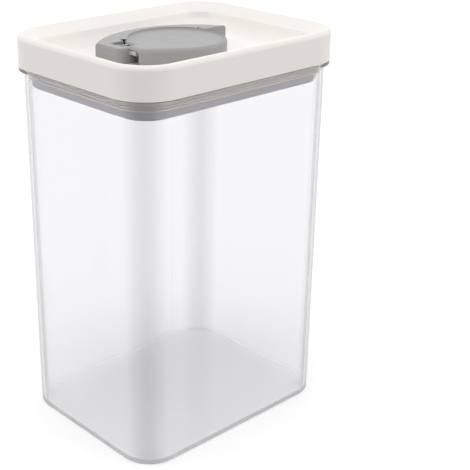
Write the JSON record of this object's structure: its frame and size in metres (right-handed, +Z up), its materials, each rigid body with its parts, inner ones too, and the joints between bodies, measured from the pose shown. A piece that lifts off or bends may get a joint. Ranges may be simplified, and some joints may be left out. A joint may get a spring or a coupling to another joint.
{
  "type": "airtight food storage container",
  "caption": "Tall clear rectangular food container with rounded corners and a lift-off lid; a round flip lever in the lid moves a plug with a soft seal.",
  "frame": {"origin": "centre of the base's underside, on the surface the container stands on", "axes": "+Z up, X along the container's long side, Y along its short side; the lever's hinge is on the -X side and the lever lifts at +X"},
  "size_m": [0.15, 0.1188, 0.229],
  "materials": {
    "clear_plastic": "clear, polished",
    "lid_white": "smooth satin, warm white",
    "lever_gray": "satin mid gray",
    "plug_gray": "satin, slightly purple gray",
    "seal_rubber": "soft, warm light gray silicone",
    "screw_steel": "zinc plated",
    "pin_gray": "smooth light gray acetal"
  },
  "bodies": {
    "container": {"container_body": "clear_plastic"},
    "lid": {"lid_cover": "lid_white", "liner_frame": "lid_white", "liner_screws": "screw_steel", "hinge_block": "lever_gray", "hinge_block_screws": "screw_steel", "hinge_pins": "pin_gray"},
    "lever": {"lever": "lever_gray"},
    "plug": {"plug_shell": "plug_gray", "seal_ring": "seal_rubber", "lift_yoke": "plug_gray", "yoke_screws": "screw_steel"}
  },
  "joints": [
    {"name": "lid_lift", "type": "slide", "parent": "container", "child": "lid", "axis": [0, 0, 1], "range_m": [0, 0.04]},
    {"name": "lever_hinge", "type": "hinge", "parent": "lid", "child": "lever", "pos_m": [-0.0318, 0, 0.2212], "axis": [0, -1, 0], "range_deg": [0, 80]},
    {"name": "plug_slide", "type": "slide", "parent": "lid", "child": "plug", "axis": [0, 0, -1], "range_m": [0, 0.00276]}
  ],
  "couplings": [
    {"joint": "plug_slide", "follows": "lever_hinge", "m_per_rad": 0.00197}
  ]
}
